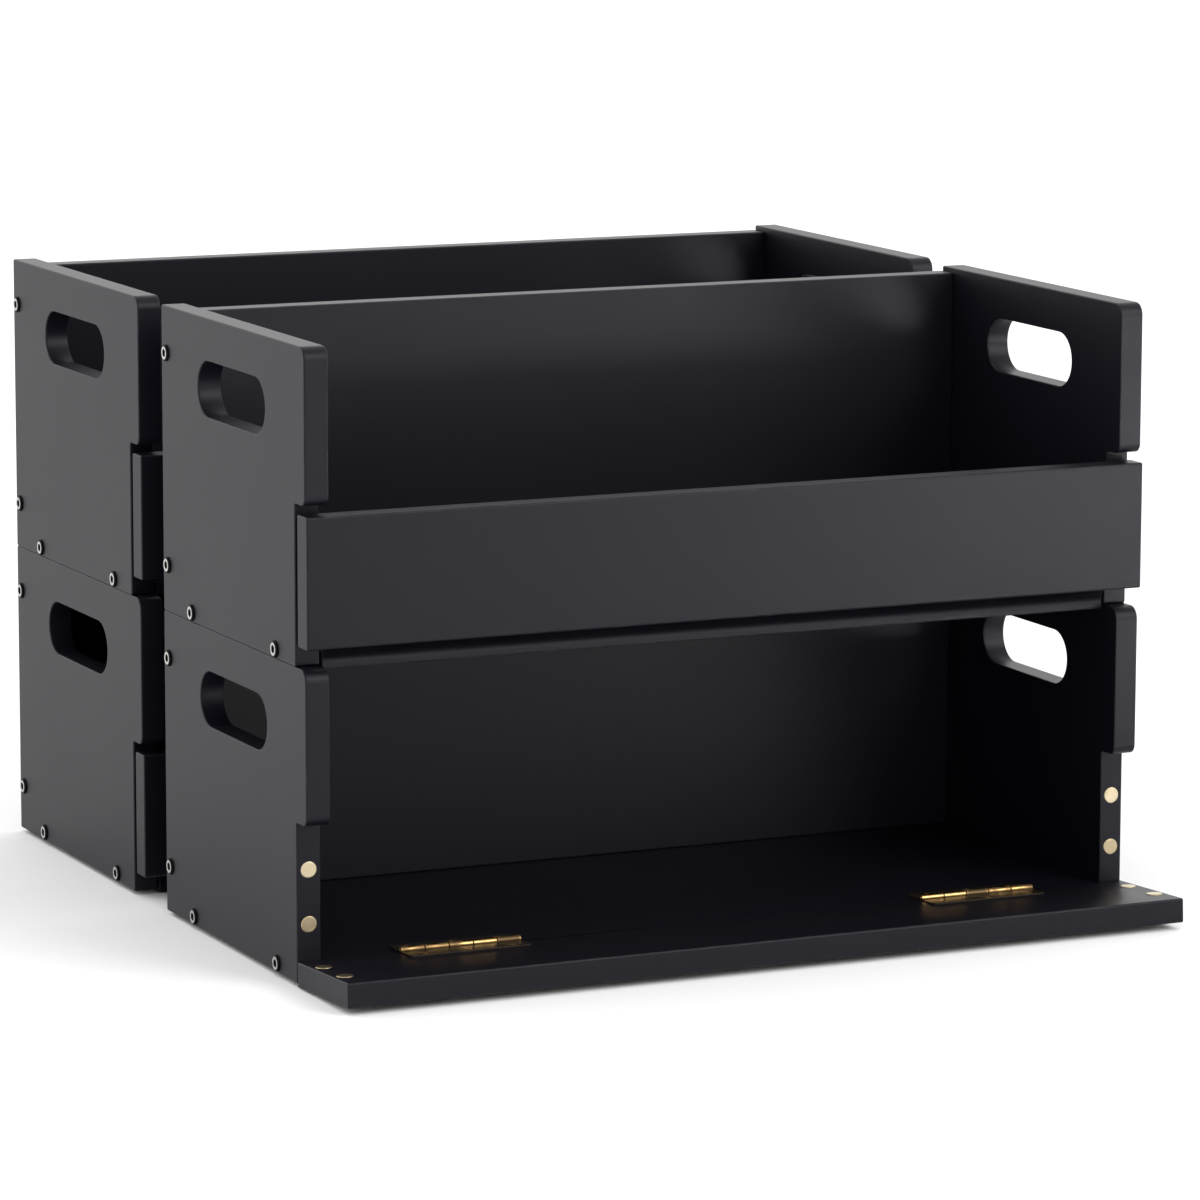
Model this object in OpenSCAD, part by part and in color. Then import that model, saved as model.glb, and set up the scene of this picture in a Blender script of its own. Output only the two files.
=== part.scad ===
// Stacking storage boxes with drop-down front flaps: two columns, two boxes high.
//
// Every box is the same: two side panels, a back, a bottom and a flap on two butt
// hinges, held shut by disc magnets in the front edges of the sides. The bottom
// hangs a little below the sides, so that it drops between the sides of the box
// underneath. Millimetres, +Z up, +X to the right, the flaps face -Y.
// The origin is the centre of the front lower box's footprint, on the floor.

/* [Box] */
// Outside width of one box, across its two side panels
box_w = 440; // [320:1:640]
// Depth of one box, from the noses of the sides to the back
box_d = 185; // [160:1:320]
// Height of a side panel, which is also the step from box to box
box_h = 150; // [132:1:240]
// Thickness of the lacquered board that every panel is cut from
board = 12; // [10:0.5:16]
// How far the bottom hangs below the sides, to nest in the box underneath
nest_drop = 2; // [1:0.5:4]
// Free gap over the back of the box underneath
nest_clear = 0.5; // [0.3:0.1:1]
// Side play of the bottom's hanging part between the sides underneath
seat_gap = 0.8; // [0.4:0.1:1.5]
// Height of the stepped-in lower part of the bottom's ends
seat_h = 8; // [5:0.5:8]

/* [Stack] */
// Free space between the front column and the rear column
column_gap = 33; // [10:1:80]

/* [Side profile] */
// Radius of the nose's upper corner
nose_r_top = 6; // [2:0.5:10]
// Radius of the nose's lower corner
nose_r_bottom = 4.5; // [1:0.5:8]
// Gap from the closed flap's upper edge to the underside of the noses
nose_gap = 4.6; // [3:0.1:10]

/* [Handle slot] */
// Length of the slot, front to back
slot_l = 87; // [60:1:120]
// Height of the slot, which is also the diameter of its round ends
slot_h = 27; // [20:1:34]
// Depth of the slot's middle below the upper edge of the side
slot_drop = 34; // [24:1:44]

/* [Flap] */
// Height of the flap
flap_h = 62; // [48:1:68]
// Gap from the closed flap to the front edges of the sides
flap_gap = 3; // [2.4:0.1:5]
// How far the closed flap stands in front of the noses
flap_proud = 2.5; // [0:0.5:4]
// Angle from shut at which the flap comes to rest on its stop
flap_open = 87; // [80:1:89]
// Gap left at that stop, between the flap and the bottom's front edge
stop_clear = 0.1; // [0.05:0.05:0.3]

/* [Hinges] */
// Length of a hinge
hinge_len = 62; // [40:1:80]
// Distance from the outer face of a side to the near end of its hinge
hinge_inset = 51; // [25:1:60]
// Outer diameter of the hinge barrel
barrel_d = 3.2; // [2.8:0.1:4]
// Diameter of the hinge pin
pin_d = 1.6; // [1.2:0.1:1.8]
// Radial play of the pin in the flap's knuckles
pin_clear = 0.05; // [0.03:0.01:0.09]
// Thickness of a hinge leaf
leaf_t = 1; // [0.8:0.1:1.2]
// Width of a leaf, from the pin's axis
leaf_w = 14; // [12:0.5:18]
// Distance from the pin's axis to the row of leaf screws
leaf_screw_row = 9.5; // [7.5:0.5:10]
// Depth to which the flap's leaf is let into the flap
leaf_inlay = 0.4; // [0.2:0.1:0.6]
// Number of knuckles along one hinge
knuckles = 5; // [3:2:7]
// Free gap between knuckles, and round the barrel
hinge_clear = 0.3; // [0.2:0.05:0.4]

/* [Fasteners] */
// Diameter of the assembly screws' heads
head_d = 8.2; // [7:0.1:9.5]
// Height of the heads above the side panel
head_h = 1.2; // [0.8:0.1:2]
// Shank diameter of the assembly screws
shank_d = 5.2; // [4:0.1:6]
// Length of the assembly screws under the head
screw_len = 48; // [36:1:60]
// Width across the flats of the hexagon socket
socket_af = 3.6; // [2.5:0.1:3.8]
// Depth of the hexagon socket
socket_depth = 2.2; // [1.5:0.1:4]
// Radial play of the shank in the side panel
shank_clear = 0.1; // [0.05:0.05:0.3]
// Distance of the bottom's screws from the front and back of the side
bottom_screw_margin = 38; // [30:1:60]
// Distance of the back's screws from the upper and lower edge of the side
back_screw_margin = 23; // [18:1:40]
// Least gap from a screw's head to the lower edge of the side
head_edge_gap = 0.3; // [0.2:0.1:1]
// Head diameter of the leaf screws
leaf_head_d = 4.4; // [3.6:0.1:5]
// Shank diameter of the leaf screws
leaf_shank_d = 2.2; // [1.8:0.1:2.6]
// Length of the leaf screws
leaf_screw_len = 8; // [6:0.5:9]

/* [Magnets] */
// Diameter of the disc magnets
magnet_d = 8; // [5:0.5:9]
// Thickness of the disc magnets
magnet_t = 3; // [2:0.5:4]
// How far the magnets stand out of the wood
magnet_proud = 0.3; // [0:0.1:0.5]
// Distance from the flap's long edges to the middle of the magnets
magnet_margin = 18; // [10:1:20]

/* [Hidden] */
$fn = 64;
// Extra length that takes a cut clear of the face it leaves by
cut = 1;

front_y = -box_d / 2;
back_y = box_d / 2;
side_low = nest_drop;
side_top = nest_drop + box_h;
inner_w = box_w - 2 * board;

// The barrel lies on the bottom's upper face, its pin in front of the front edge.
barrel_r = barrel_d / 2;
pin_r = pin_d / 2;
pin_to_flap = barrel_r - leaf_inlay;
notch_y = front_y + board + flap_gap - flap_proud;
pin_y = notch_y - flap_gap + pin_to_flap;
pin_z = board + barrel_r;

// The flap's lower edge hangs below the pin by just so much that it meets the
// bottom's upper front corner at the open angle.
edge_drop = sin(flap_open) * (flap_gap - pin_to_flap - stop_clear) + barrel_r * cos(flap_open);
flap_low = pin_z - edge_drop;
flap_top = flap_low + flap_h;
nose_low = flap_top + nose_gap;

SIDES = [-1, 1];
hinge_x = box_w / 2 - hinge_inset - hinge_len / 2;
knuckle_step = hinge_len / knuckles;
BASE_KNUCKLES = [0 : 2 : knuckles - 1];
FLAP_KNUCKLES = [1 : 2 : knuckles - 2];
LEAF_SCREWS = [for (i = [-1 : 1]) i * (hinge_len / 2 - 8)];
MAGNET_Z = [flap_low + magnet_margin, flap_top - magnet_margin];

// Places of the assembly screws on a side panel, as [y, z]. The bottom's sit at
// mid-board, or just high enough for their heads to stay on the side.
bottom_screw_z = max(board / 2, side_low + head_d / 2 + head_edge_gap);
BOTTOM_SCREWS = [
    for (y = [front_y + bottom_screw_margin, back_y - bottom_screw_margin]) [y, bottom_screw_z]
];
BACK_SCREWS = [for (z = [side_low + back_screw_margin, side_top - back_screw_margin]) [back_y - board / 2, z]];

// Each box: [name, shift in y, shift in z, angle of the flap from shut]
BOXES = [
    ["front_lower", 0, 0, flap_open],
    ["front_upper", 0, box_h, 0],
    ["rear_lower", box_d + column_gap, 0, 0],
    ["rear_upper", box_d + column_gap, box_h, 0]
];
PIECES = [
    "left_side", "right_side", "back_panel", "bottom_panel", "assembly_screws",
    "side_magnets", "hinge_base_leaves", "hinge_pins", "base_leaf_screws",
    "flap", "flap_magnets", "hinge_flap_leaves", "flap_leaf_screws"
];

lacquer = "#2c2c2f";
brass = "#a5854a";
champagne = "#e2d7b4";
steel = "#8f8f90";

// ---------------------------------------------------------------- placing

// Puts a piece of a box where that box stands
module in_box(box) {
    translate([0, box[1], box[2]]) children();
}

// Puts a piece drawn round the pin's axis, with the flap shut, at the flap's angle
module on_flap(box) {
    in_box(box) translate([0, pin_y, pin_z]) rotate([box[3], 0, 0]) children();
}

// Draws an outline of (y, z) as a plate of thickness t whose inner face starts at x
module yz_plate(x, t) {
    translate([x, 0, 0]) rotate([90, 0, 90]) linear_extrude(t) children();
}

// Repeats a piece at the two hinges
module at_hinges() {
    for (side = SIDES) translate([side * hinge_x, 0, 0]) children();
}

// ---------------------------------------------------------------- panels

// What a rounded corner takes off a square one at the origin
module corner_waste(r) {
    difference() {
        translate([-cut, -cut]) square(r + cut);
        translate([r, r]) circle(r);
        translate([r, -cut]) square([cut, r + cut]);
    }
}

module slot_outline() {
    reach = (slot_l - slot_h) / 2;
    translate([0, side_top - slot_drop]) {
        square([2 * reach, slot_h], center = true);
        for (side = SIDES) translate([side * reach, 0]) circle(slot_h / 2);
    }
}

// A side seen from its outer face: the nose over the notch that the flap closes
module side_outline() {
    difference() {
        translate([front_y, side_low]) square([box_d, box_h]);
        translate([front_y - cut, side_low - cut]) square([notch_y - front_y + cut, nose_low - side_low + cut]);
        translate([front_y, nose_low]) corner_waste(nose_r_bottom);
        translate([front_y, side_top]) mirror([0, 1]) corner_waste(nose_r_top);
        slot_outline();
    }
}

module side_panel(side) {
    inner_x = side * (box_w / 2 - board / 2);
    color(lacquer) difference() {
        yz_plate(inner_x - board / 2, board) side_outline();
        for (at = concat(BOTTOM_SCREWS, BACK_SCREWS))
            translate([inner_x, at[0], at[1]]) rotate([0, 90, 0])
                cylinder(h = board + 2 * cut, d = shank_d + 2 * shank_clear, center = true);
        for (z = MAGNET_Z)
            translate([inner_x, notch_y + magnet_t - magnet_proud, z]) rotate([90, 0, 0])
                cylinder(h = magnet_t + cut, d = magnet_d);
    }
}

module left_side() {
    side_panel(-1);
}

module right_side() {
    side_panel(1);
}

// Pilot holes of the assembly screws in both ends of a panel
module end_pilots(places) {
    for (side = SIDES, at = places)
        translate([side * (inner_w / 2 + cut), at[0], at[1]]) rotate([0, -90 * side, 0])
            cylinder(h = screw_len - board + cut, d = shank_d);
}

// The back stands on the bottom and stops below the sides, clear of the box above
module back_panel() {
    color(lacquer) difference() {
        translate([-inner_w / 2, back_y - board, board])
            cube([inner_w, board, side_top - nest_drop - nest_clear - board]);
        end_pilots(BACK_SCREWS);
    }
}

// The bottom's ends are stepped in below, so that it drops in between two sides
module bottom_panel() {
    panel_d = back_y - notch_y;
    color(lacquer) difference() {
        union() {
            translate([-inner_w / 2, notch_y, seat_h]) cube([inner_w, panel_d, board - seat_h]);
            translate([-inner_w / 2 + seat_gap, notch_y, 0]) cube([inner_w - 2 * seat_gap, panel_d, seat_h]);
        }
        end_pilots(BOTTOM_SCREWS);
        translate([0, pin_y, pin_z]) at_hinges() base_leaf_pilots();
    }
}

// The flap, drawn round the pin's axis
module flap_board() {
    color(lacquer) difference() {
        translate([-box_w / 2, -pin_to_flap - board, -edge_drop]) cube([box_w, board, flap_h]);
        at_hinges() {
            barrel_room();
            flap_leaf_pocket();
            flap_leaf_pilots();
        }
        for (side = SIDES, z = MAGNET_Z)
            translate([side * (box_w - board) / 2, -pin_to_flap - magnet_t + magnet_proud, z - pin_z])
                rotate([-90, 0, 0]) cylinder(h = magnet_t + cut, d = magnet_d);
    }
}

// ---------------------------------------------------------------- hinges
// All hinge pieces are drawn round the pin's axis: the base leaf runs back along
// +Y on the bottom, and the flap's leaf runs up along +Z on the shut flap.

module along_x(x, length, d) {
    translate([x, 0, 0]) rotate([0, 90, 0]) cylinder(h = length, d = d);
}

// Space cut in the flap for the barrel and for the base leaf under the open flap
module barrel_room() {
    room_l = hinge_len + 2 * hinge_clear;
    room_r = barrel_r + hinge_clear;
    along_x(-room_l / 2, room_l, 2 * room_r);
    translate([-room_l / 2, -room_r, -edge_drop - cut]) cube([room_l, room_r, edge_drop + cut]);
}

module flap_leaf_pocket() {
    translate([-hinge_len / 2, -barrel_r, 0]) cube([hinge_len, barrel_r, leaf_w]);
}

module flap_leaf_pilots() {
    for (x = LEAF_SCREWS)
        translate([x, 0, leaf_screw_row]) rotate([90, 0, 0])
            cylinder(h = barrel_r - leaf_t + leaf_screw_len, d = leaf_shank_d);
}

module base_leaf_pilots() {
    for (x = LEAF_SCREWS)
        translate([x, leaf_screw_row, 0]) rotate([180, 0, 0])
            cylinder(h = barrel_r - leaf_t + leaf_screw_len, d = leaf_shank_d);
}

// A countersunk hole through a leaf that lies flat in XY, its upper face at z = 0
module leaf_hole() {
    play = 0.05;
    translate([0, 0, -leaf_t]) cylinder(h = leaf_t, d1 = leaf_shank_d + 2 * play, d2 = leaf_head_d + 2 * play);
    translate([0, 0, -leaf_t - cut]) cylinder(h = leaf_t + 2 * cut, d = leaf_shank_d + 2 * play);
}

// One leaf with its own knuckles: it lies flat behind the pin's axis along +Y,
// with its under face level with the bottom of the barrel
module leaf(own_knuckles, bore_d) {
    plate_start = barrel_r + hinge_clear;
    difference() {
        union() {
            translate([-hinge_len / 2, plate_start, -barrel_r]) cube([hinge_len, leaf_w - plate_start, leaf_t]);
            for (i = own_knuckles) {
                x = -hinge_len / 2 + i * knuckle_step + hinge_clear / 2;
                length = knuckle_step - hinge_clear;
                along_x(x, length, barrel_d);
                translate([x, 0, -barrel_r]) cube([length, plate_start + cut / 2, leaf_t]);
            }
        }
        along_x(-hinge_len / 2 - cut, hinge_len + 2 * cut, bore_d);
        for (x = LEAF_SCREWS) translate([x, leaf_screw_row, leaf_t - barrel_r]) leaf_hole();
    }
}

// Turns a piece drawn for the bottom's leaf into its place on the shut flap
module onto_flap_face() {
    rotate([90, 0, 0]) mirror([0, 0, 1]) children();
}

module base_leaves() {
    color(brass) at_hinges() leaf(BASE_KNUCKLES, pin_d);
}

module flap_leaves() {
    color(brass) at_hinges() onto_flap_face() leaf(FLAP_KNUCKLES, pin_d + 2 * pin_clear);
}

module pins() {
    pin_l = hinge_len + 2 * hinge_clear;
    color(brass) at_hinges() along_x(-pin_l / 2, pin_l, pin_d);
}

// A countersunk screw with a cross recess, head up at z = 0
module leaf_screw() {
    recess_w = 0.5;
    recess_depth = 0.5;
    difference() {
        union() {
            translate([0, 0, -leaf_t]) cylinder(h = leaf_t, d1 = leaf_shank_d, d2 = leaf_head_d);
            translate([0, 0, -leaf_screw_len]) cylinder(h = leaf_screw_len - leaf_t, d = leaf_shank_d);
        }
        for (a = [0, 90]) rotate([0, 0, a])
            cube([leaf_head_d * 0.6, recess_w, 2 * recess_depth], center = true);
    }
}

module leaf_screws() {
    at_hinges() for (x = LEAF_SCREWS) translate([x, leaf_screw_row, leaf_t - barrel_r]) leaf_screw();
}

// ---------------------------------------------------------------- fasteners

// An assembly screw driven along +Z, its head below z = 0
module assembly_screw() {
    bevel = 0.3;
    difference() {
        union() {
            translate([0, 0, -head_h]) cylinder(h = bevel, d1 = head_d - 2 * bevel, d2 = head_d);
            translate([0, 0, -head_h + bevel]) cylinder(h = head_h - bevel, d = head_d);
            cylinder(h = screw_len, d = shank_d);
        }
        translate([0, 0, -head_h - cut]) cylinder(h = socket_depth + cut, d = socket_af / cos(30), $fn = 6);
    }
}

module assembly_screws() {
    color(steel) for (side = SIDES, at = concat(BOTTOM_SCREWS, BACK_SCREWS))
        translate([side * box_w / 2, at[0], at[1]]) rotate([0, -90 * side, 0]) assembly_screw();
}

module side_magnets() {
    color(champagne) for (side = SIDES, z = MAGNET_Z)
        translate([side * (box_w - board) / 2, notch_y - magnet_proud, z]) rotate([-90, 0, 0])
            cylinder(h = magnet_t, d = magnet_d);
}

// The flap's magnets, drawn round the pin's axis like the flap
module flap_magnets() {
    color(champagne) for (side = SIDES, z = MAGNET_Z)
        translate([side * (box_w - board) / 2, -pin_to_flap + magnet_proud, z - pin_z]) rotate([90, 0, 0])
            cylinder(h = magnet_t, d = magnet_d);
}

// Puts the bottom's hinge pieces of a box in place
module on_base(box) {
    in_box(box) translate([0, pin_y, pin_z]) children();
}

// ---------------------------------------------------------------- the boxes

for (box = BOXES) {
    name = box[0];
    in_box(box) left_side();
    in_box(box) right_side();
    in_box(box) back_panel();
    in_box(box) bottom_panel();
    in_box(box) assembly_screws();
    in_box(box) side_magnets();
    on_base(box) base_leaves();
    on_base(box) pins();
    on_base(box) color(brass) leaf_screws();
    on_flap(box) flap_board();
    on_flap(box) flap_magnets();
    on_flap(box) flap_leaves();
    on_flap(box) color(brass) onto_flap_face() leaf_screws();
}
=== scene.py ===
# %% [markdown]
# # Four stacking storage boxes in black lacquer
#
# The object is a set of four equal wooden boxes: two stand one behind the other, and two more
# are stacked on them. Each box is five lacquered boards, and its front board is a flap on two
# brass hinges that disc magnets hold shut. This script dresses the packed model: it loads the
# bare mechanical frame and builds, in its place, the boards with their softly eased edges, the
# hinges with their knuckles, the screws, the magnets and the finishes of the real thing.
#
# Every size and place below is read from the frame or is a named value, in metres unless its
# comment says otherwise.

# %% Load the frame
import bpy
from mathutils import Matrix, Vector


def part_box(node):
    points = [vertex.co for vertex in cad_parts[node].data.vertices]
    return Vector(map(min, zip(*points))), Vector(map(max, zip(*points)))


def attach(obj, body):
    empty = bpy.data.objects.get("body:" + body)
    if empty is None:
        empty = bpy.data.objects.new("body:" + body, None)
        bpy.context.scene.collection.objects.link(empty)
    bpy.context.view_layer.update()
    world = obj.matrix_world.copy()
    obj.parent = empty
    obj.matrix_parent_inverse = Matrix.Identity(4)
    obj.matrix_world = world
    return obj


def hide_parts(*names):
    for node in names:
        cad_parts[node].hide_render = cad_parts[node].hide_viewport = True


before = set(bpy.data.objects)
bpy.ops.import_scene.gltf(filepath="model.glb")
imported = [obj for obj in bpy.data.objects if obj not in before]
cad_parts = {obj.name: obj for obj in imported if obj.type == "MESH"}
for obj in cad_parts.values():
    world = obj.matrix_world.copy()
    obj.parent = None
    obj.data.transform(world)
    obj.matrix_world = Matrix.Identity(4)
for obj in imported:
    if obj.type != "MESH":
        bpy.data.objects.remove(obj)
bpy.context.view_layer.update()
print("CAD nodes:", len(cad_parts))

# %% Tools and names
import math

import bmesh
import bpy
import numpy as np
from mathutils import Euler, Vector

MM = 0.001
BOXES = ("front_lower", "front_upper", "rear_lower", "rear_upper")
# The box that is measured: its flap is shut, as it is drawn on a bench
HOME = "front_upper"
print("boxes:", ", ".join(BOXES))

# %% [markdown]
# ## Measuring the frame
#
# A learner may be tempted to type the places of eighty screws. It is safer to ask the model. A
# CAD node of fasteners is a cloud of points with wide gaps between the single solids, so
# splitting the cloud wherever it has a gap finds each screw, and each one's box gives its place.
# The four boxes are equal, so only the home box is measured in full. Of the others it is enough
# to know how far they are shifted from it and how far their flaps are turned.

# %% Ask a node for its points, its box and its separate solids
def cad_points(node):
    """All vertices of a CAD node, as an (n, 3) array in metres."""
    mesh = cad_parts[node].data
    points = np.empty(len(mesh.vertices) * 3, np.float32)
    mesh.vertices.foreach_get("co", points)
    return points.reshape(-1, 3).astype(float)


def corners(node):
    """Lowest and highest corner of a CAD node, as two arrays."""
    low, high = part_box(node)
    return np.array(low), np.array(high)


CLOSE = 5 * MM        # a gap wider than this parts neighbouring screws or magnets
APART = 100 * MM      # a gap wider than this parts what lies at the two ends of a box


def solids(node, **gaps):
    """The (low, high) boxes of a node's separate solids.

    Its points are split wherever they leave a gap along x, y or z that is wider than the one named.
    """
    groups = [cad_points(node)]
    for letter, gap in gaps.items():
        axis, split = "xyz".index(letter), []
        for points in groups:
            points = points[np.argsort(points[:, axis])]
            split += np.split(points, np.flatnonzero(np.diff(points[:, axis]) > gap) + 1)
        groups = split
    return [(points.min(0), points.max(0)) for points in groups]


def pin_axis(box):
    """The (y, z) of a box's hinge pins."""
    low, high = corners(f"{box}_hinge_pins")
    return ((low + high) / 2)[1:]


def flap_turn(box):
    """How far a box's flap is turned from shut, in radians, from its magnets' bearing round the pin."""
    arms = [cad_points(f"{name}_flap_magnets").mean(0)[1:] - pin_axis(name) for name in (box, HOME)]
    bearings = [math.atan2(z, y) for y, z in arms]
    return bearings[0] - bearings[1]


print("pins of", HOME, "at y, z", np.round(pin_axis(HOME) / MM, 2), "mm")

# %% Measure the boards, and where each box stands
side_low, side_high = corners(f"{HOME}_left_side")
right_low, right_high = corners(f"{HOME}_right_side")
bottom_low, bottom_high = corners(f"{HOME}_bottom_panel")
back_low, back_high = corners(f"{HOME}_back_panel")
flap_low, flap_high = corners(f"{HOME}_flap")
home_pin = pin_axis(HOME)
shift = {box: corners(f"{box}_bottom_panel")[0] - bottom_low for box in BOXES}
turn = {box: flap_turn(box) for box in BOXES}
for box in BOXES:
    print(f"{box}: shift {np.round(shift[box] / MM, 1)} mm, flap {math.degrees(turn[box]):.1f} degrees")

# %% Measure the side panel's notch and its handle slot
side_points = cad_points(f"{HOME}_left_side")
notch_y = bottom_low[1]
nose_low = side_points[side_points[:, 1] < notch_y - MM][:, 2].min()
SLOT_REACH = 60 * MM  # the slot lies within this distance of the side's middle
slot_zone = (np.abs(side_points[:, 1]) < SLOT_REACH) & (side_points[:, 2] > nose_low)
slot_zone &= side_points[:, 2] < side_high[2] - MM
slot_low, slot_high = side_points[slot_zone].min(0), side_points[slot_zone].max(0)
print("notch to y", round(notch_y / MM, 2), " nose from z", round(nose_low / MM, 2), "mm")

# %% [markdown]
# ## Surfaces from grids
#
# Every new piece is a sheet of points with two directions: `columns` run round a closed loop and
# `rows` carry that loop along. A shape is then one array, and the faces between neighbouring
# points follow by themselves. If the last row joins the first, the sheet is a ring; if not, the
# first and last loops are closed with a cap. A third number per point, `rim`, says how near the
# point is to an edge, so that the finish can be different there.

# %% A shell is points, faces and rims
def grid_shell(points, rim, ring=False):
    """A closed shell from a (rows, columns, 3) grid.

    Each quad joins point (i, j) to (i, j + 1), (i + 1, j + 1) and (i + 1, j). The columns always
    close; the rows close too if ring is true, and end in two caps if not.
    """
    rows, columns = points.shape[:2]
    index = np.arange(rows * columns).reshape(rows, columns)
    lower = index if ring else index[:-1]
    upper = np.roll(index, -1, 0) if ring else index[1:]
    quads = np.stack([lower, np.roll(lower, -1, 1), np.roll(upper, -1, 1), upper], -1).reshape(-1, 4)
    faces = quads.tolist()
    if not ring:
        faces += [index[0, ::-1].tolist(), index[-1].tolist()]
    flat = points.reshape(-1, 3)
    # Six times the volume inside is a sum over triangles; below zero, the faces point inwards
    a, b, c, d = (flat[quads[:, k]] for k in range(4))
    volume = (a * (np.cross(b, c) + np.cross(c, d))).sum()
    for cap in faces[len(quads):]:
        fan = flat[cap]
        volume += (np.cross(fan[1:-1], fan[2:]) @ fan[0]).sum()
    if volume < 0:
        faces = [face[::-1] for face in faces]
    return flat, faces, np.broadcast_to(rim, (rows, columns)).reshape(-1)


square = np.array([(1, 1, 0), (-1, 1, 0), (-1, -1, 0), (1, -1, 0)], float)
cube = grid_shell(np.stack([square, square + (0, 0, 2)]), 0.0)
print("a cube as a shell:", len(cube[0]), "points,", len(cube[1]), "faces")

# %% Join, move and swing shells
def together(shells):
    """Several shells as one: the points are stacked and the faces count on from the shells before."""
    faces, start = [], 0
    for points, own_faces, _ in shells:
        faces += [[start + i for i in face] for face in own_faces]
        start += len(points)
    return np.vstack([s[0] for s in shells]), faces, np.concatenate([s[2] for s in shells])


def moved(shell, offset):
    """A shell with the offset added to every point."""
    return shell[0] + np.asarray(offset, float), shell[1], shell[2]


def swung(shell, angle):
    """A shell turned about the home box's pins: the rotation matrix times each point's arm from them."""
    places = shell[0].copy()
    arm = places[:, 1:] - home_pin
    c, s = math.cos(angle), math.sin(angle)
    places[:, 1] = home_pin[0] + c * arm[:, 0] - s * arm[:, 1]
    places[:, 2] = home_pin[1] + s * arm[:, 0] + c * arm[:, 1]
    return places, shell[1], shell[2]


print("two cubes in a row:", len(together([cube, moved(cube, (3, 0, 0))])[0]), "points")

# %% A mesh object from a shell
WELD = MM / 1000      # points nearer than this are one point


def piece(name, shell):
    """A smooth mesh object from a shell, with its rims kept as an attribute for the finish.

    Points that fall together are merged, so that no face is left without an area.
    """
    points, faces, rim = shell
    mesh = bpy.data.meshes.new(name)
    mesh.from_pydata(points.tolist(), [], faces)
    mesh.attributes.new("rim", "FLOAT", "POINT").data.foreach_set("value", rim.astype(np.float32))
    mesh.polygons.foreach_set("use_smooth", np.ones(len(faces), bool))
    merged = bmesh.new()
    merged.from_mesh(mesh)
    bmesh.ops.remove_doubles(merged, verts=merged.verts, dist=WELD)
    merged.to_mesh(mesh)
    merged.free()
    mesh.update()
    made = bpy.data.objects.new(name, mesh)
    bpy.context.scene.collection.objects.link(made)
    return made


print("points within", WELD / MM, "mm of each other are merged")

# %% [markdown]
# ## Outlines with round corners
#
# A board is sawn square, but the sander breaks every edge. What makes it read as lacquered wood is
# the fine line of light on that eased edge, so the edge is real geometry. Two small rules give
# all boards: an outline is straight stretches and corner arcs, each point with its outward
# direction; and moving each point back along that direction shrinks the outline evenly.

# %% Outline of right-angled corners with arcs
EASE = 0.6 * MM       # radius of the broken edge of every board
GUARD = 0.35 * MM     # flat strip beside an eased edge, which keeps the wide face flat in the light
CORNER = EASE + GUARD + 0.05 * MM     # radius of a board's corners, a little more than the widest inset


def outline(points, radii, step=None, arc_steps=6):
    """(places, directions) round a loop of right-angled corners, run anticlockwise.

    A corner's arc is centre + radius * (cos a * -leaving + sin a * arriving), a from 0 to 90
    degrees, where the centre is the corner - radius * arriving + radius * leaving. It points out of
    the board at an outer corner, and its opposite does at an inner one. With a step, the straight
    stretches are divided too.
    """
    points, radii = np.asarray(points, float), np.asarray(radii, float)
    arriving = points - np.roll(points, 1, 0)
    arriving /= np.linalg.norm(arriving, axis=1)[:, None]
    leaving = np.roll(arriving, -1, 0)
    outer = np.sign(arriving[:, 0] * leaving[:, 1] - arriving[:, 1] * leaving[:, 0])
    angle = np.linspace(0, np.pi / 2, arc_steps + 1)[None, :, None]
    reach = np.sin(angle) * arriving[:, None] - np.cos(angle) * leaving[:, None]
    centre = points + radii[:, None] * (leaving - arriving)
    arcs = centre[:, None] + radii[:, None, None] * reach
    ways = outer[:, None, None] * reach
    # A point a little before and after each arc keeps the straight stretches straight in the light
    arcs = np.concatenate([arcs[:, :1] - GUARD * arriving[:, None], arcs,
                           arcs[:, -1:] + GUARD * leaving[:, None]], 1)
    ways = np.concatenate([ways[:, :1], ways, ways[:, -1:]], 1)
    places, directions = [], []
    for k in range(len(points)):
        places.append(arcs[k])
        directions.append(ways[k])
        gap = arcs[(k + 1) % len(points), 0] - arcs[k, -1]
        pieces = int(np.linalg.norm(gap) // step) if step else 0
        if pieces > 1:
            share = np.arange(1, pieces)[:, None] / pieces
            places.append(arcs[k, -1] + share * gap)
            directions.append(np.repeat(ways[k, -1:], pieces - 1, 0))
    return np.vstack(places), np.vstack(directions)


def rectangle(half_u, half_v, radius=CORNER):
    """The outline of a rectangle round the origin, given half its width and half its height."""
    loop = [(half_u, half_v), (-half_u, half_v), (-half_u, -half_v), (half_u, -half_v)]
    return outline(loop, [radius] * 4)


print("points round a rectangle:", len(rectangle(100 * MM, 50 * MM)[0]))

# %% Rows across an eased edge
def eased_rows(thickness, ease=EASE, arc_steps=4):
    """(inset, level, rim) of the rows from one face of a board to the other.

    Along the first edge the inset is ease * (1 - sin a) and the level ease * (1 - cos a), with a
    from 0 to 90 degrees. A guard row lies beside each end of it, and the second edge mirrors it.
    """
    a = np.linspace(0, np.pi / 2, arc_steps + 1)
    inset = np.concatenate([[ease + GUARD], ease * (1 - np.sin(a)), [0]])
    level = np.concatenate([[0], ease * (1 - np.cos(a)), [ease + GUARD]])
    rim = np.concatenate([[0], np.sin(2 * a), [0]])
    return (np.concatenate([inset, inset[::-1]]), np.concatenate([level, thickness - level[::-1]]),
            np.concatenate([rim, rim[::-1]]))


print("eased edge", round(EASE / MM, 2), "mm, board corners", round(CORNER / MM, 2), "mm")

# %% [markdown]
# ## Boards
#
# The back and the bottom are plain rectangles: the outline of the wide face is carried through
# the thickness, drawn in by the inset at each row. The bottom's ends are stepped in below, so
# that it drops between the sides of the box underneath.

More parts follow.
